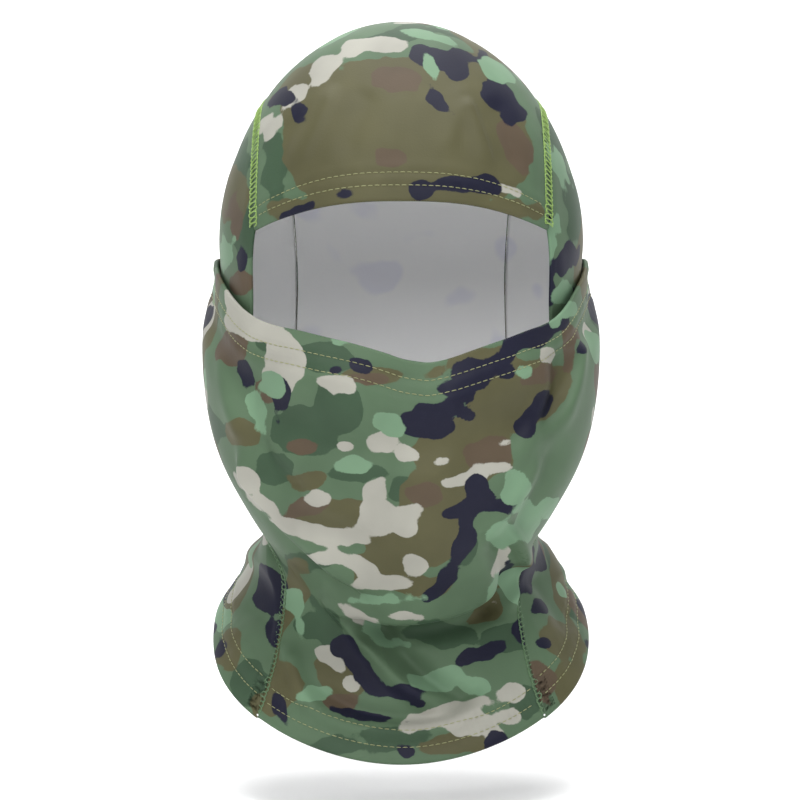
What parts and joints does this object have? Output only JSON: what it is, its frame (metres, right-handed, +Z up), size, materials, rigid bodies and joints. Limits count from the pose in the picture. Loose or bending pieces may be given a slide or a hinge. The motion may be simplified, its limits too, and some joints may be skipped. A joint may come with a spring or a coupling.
{
  "type": "camouflage face mask",
  "caption": "Stretch-knit balaclava hood with a wide face opening and a flap over nose and mouth that turns down on its ear tacks.",
  "frame": {"origin": "inside of the crown's highest point, where the top of the wearer's head sits", "axes": "+Z up along the wearer's head, -Y the way the face looks, +X the wearer's left"},
  "size_m": [0.1902, 0.2106, 0.3475],
  "materials": {
    "camouflage_knit": "smooth stretch knit with a soft sheen, printed in a woodland camouflage of greens, olive, tan and navy",
    "knit_reverse": "unprinted light grey reverse side of the knit",
    "sewing_thread": "spun polyester thread in olive green"
  },
  "bodies": {
    "hood": {"crown_panel": "camouflage_knit", "left_side_panel": "camouflage_knit", "right_side_panel": "camouflage_knit", "front_panel": "camouflage_knit", "brow_hem": "knit_reverse", "left_opening_hem": "knit_reverse", "right_opening_hem": "knit_reverse", "front_bottom_hem": "knit_reverse", "left_bottom_hem": "knit_reverse", "right_bottom_hem": "knit_reverse", "back_bottom_hem": "knit_reverse", "left_crown_seam": "sewing_thread", "right_crown_seam": "sewing_thread", "left_side_seam": "sewing_thread", "right_side_seam": "sewing_thread", "brow_hem_stitches": "sewing_thread", "bottom_hem_stitches": "sewing_thread", "left_bar_tack": "sewing_thread", "right_bar_tack": "sewing_thread"},
    "mask": {"mask_panel": "camouflage_knit", "mask_top_hem": "knit_reverse", "mask_hem_stitches": "sewing_thread"}
  },
  "joints": [
    {"name": "mask_turn", "type": "hinge", "parent": "hood", "child": "mask", "pos_m": [0, 0.02, -0.118], "axis": [1, 0, 0], "range_deg": [-8, 24]}
  ]
}
